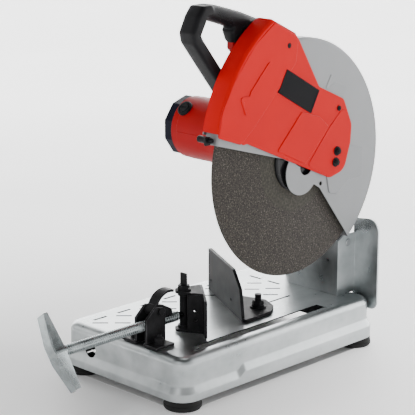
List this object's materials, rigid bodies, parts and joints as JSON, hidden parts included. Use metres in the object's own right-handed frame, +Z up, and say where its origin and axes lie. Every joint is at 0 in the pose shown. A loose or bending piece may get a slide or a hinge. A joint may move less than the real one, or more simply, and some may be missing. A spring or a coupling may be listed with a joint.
{
  "type": "abrasive chop saw",
  "caption": "Bench chop saw with an abrasive cutting disc: sprung motor arm on a pressed-steel base, quick-release screw vise and a mitre fence.",
  "frame": {"origin": "middle of the four bench-bolt holes, in the plane that the rubber feet stand on", "axes": "+X towards the side that carries the disc, +Y from the vise end to the arm's pivot, +Z up"},
  "size_m": [0.27, 0.6065, 0.573],
  "materials": {
    "galvanised": "galvanised, semi-gloss",
    "rubber": "matte",
    "zinc_bolt": "zinc plated",
    "black_steel": "semi-gloss black coating",
    "spring_steel": "oiled",
    "cast_alloy": "as cast",
    "guard_paint": "satin silver-grey",
    "red_shell": "satin red",
    "red_plastic": "satin red",
    "black_plastic": "fine texture",
    "navy_plastic": "satin",
    "label_black": "satin blank plate",
    "abrasive": "coarse resin-bonded grit",
    "gloss_black_steel": "gloss",
    "bare_steel": "ground",
    "bearing_steel": "polished",
    "copper_winding": "varnished",
    "carbon": "matte",
    "zinc_thread": "zinc plated"
  },
  "bodies": {
    "base": {"base_tray": "galvanised", "foot_front_left": "rubber", "foot_front_right": "rubber", "foot_rear_left": "rubber", "foot_rear_right": "rubber", "rear_bracket": "galvanised", "bracket_bolts": "zinc_bolt", "pivot_shaft": "zinc_bolt", "pivot_collars": "black_steel", "torsion_spring": "spring_steel", "stop_screw": "zinc_bolt", "vise_bracket": "black_steel", "vise_bolts": "black_steel", "lever_pin": "black_steel"},
    "arm": {"arm_casting": "cast_alloy", "gearbox_cover": "cast_alloy", "gearbox_screws": "black_steel", "back_plate": "guard_paint", "disc_guard": "guard_paint", "red_cover": "red_shell", "cover_screws": "black_steel", "guard_bolts": "black_steel", "guard_knob": "black_plastic", "label_plate": "label_black", "motor_housing": "red_plastic", "motor_end_cap": "navy_plastic", "stator": "copper_winding", "motor_bearings": "bearing_steel", "brush_caps": "black_plastic", "carbon_brushes": "carbon", "cable_gland": "rubber", "handle_left": "black_plastic", "handle_right": "black_plastic", "handle_screws": "black_steel", "switch_unit": "black_plastic", "arbor_bearings": "bearing_steel"},
    "disc": {"cutting_disc": "abrasive", "inner_flange": "gloss_black_steel", "outer_flange": "gloss_black_steel", "arbor_bolt": "black_steel", "arbor_shaft": "bare_steel", "arbor_gear": "bare_steel"},
    "motor_rotor": {"armature": "copper_winding", "cooling_fan": "black_plastic", "motor_pinion": "bare_steel"},
    "trigger": {"trigger": "red_plastic"},
    "lock_off": {"lock_off_button": "red_plastic"},
    "spindle_lock": {"spindle_lock": "black_plastic"},
    "carriage": {"jaw_pin": "black_steel"},
    "jaw": {"jaw_body": "black_steel", "jaw_plate": "black_steel"},
    "screw": {"vise_spindle": "zinc_thread", "t_handle": "zinc_thread"},
    "lever": {"release_lever": "black_steel"},
    "fence": {"fence_plate": "black_steel", "fence_bolts": "black_steel"}
  },
  "joints": [
    {"name": "arm_pivot", "type": "hinge", "parent": "base", "child": "arm", "pos_m": [0.036, 0.197, 0.165], "axis": [1, 0, 0], "range_deg": [0, 24.5], "stiffness_Nm_per_rad": 16, "springref_deg": -108.86},
    {"name": "disc_spin", "type": "hinge", "parent": "arm", "child": "disc", "pos_m": [0.102, 0.049, 0.326], "axis": [1, 0, 0], "continuous": true},
    {"name": "rotor_spin", "type": "hinge", "parent": "arm", "child": "motor_rotor", "pos_m": [-0.02, 0.01, 0.35729], "axis": [1, 0, 0], "continuous": true},
    {"name": "trigger_squeeze", "type": "slide", "parent": "arm", "child": "trigger", "axis": [0, 0, 1], "range_m": [0, 0.005], "stiffness_N_per_m": 600, "springref_m": -0.006},
    {"name": "lock_off_press", "type": "slide", "parent": "arm", "child": "lock_off", "axis": [1, 0, 0], "range_m": [0, 0.003], "stiffness_N_per_m": 400, "springref_m": -0.004},
    {"name": "spindle_lock_press", "type": "slide", "parent": "arm", "child": "spindle_lock", "axis": [0, -0.6157, -0.788], "range_m": [0, 0.005], "stiffness_N_per_m": 500, "springref_m": -0.005},
    {"name": "vise_travel", "type": "slide", "parent": "base", "child": "carriage", "axis": [0, 1, 0], "range_m": [-0.02, 0.05]},
    {"name": "screw_turn", "type": "hinge", "parent": "carriage", "child": "screw", "pos_m": [0.034, -0.118, 0.107], "axis": [0, 1, 0], "continuous": true},
    {"name": "jaw_swivel", "type": "hinge", "parent": "carriage", "child": "jaw", "pos_m": [0.034, -0.118, 0.113], "axis": [0, 0, 1], "range_deg": [-4, 40]},
    {"name": "quick_release", "type": "hinge", "parent": "base", "child": "lever", "pos_m": [0.034, -0.177, 0.127], "axis": [1, 0, 0], "range_deg": [0, 40]},
    {"name": "fence_angle", "type": "hinge", "parent": "base", "child": "fence", "pos_m": [0.0465, 0.031, 0.08], "axis": [0, 0, 1], "range_deg": [-16.5, 28]}
  ],
  "couplings": [
    {"joint": "rotor_spin", "follows": "disc_spin", "ratio": -4},
    {"joint": "screw_turn", "follows": "vise_travel", "rad_per_m": 1570.8}
  ]
}
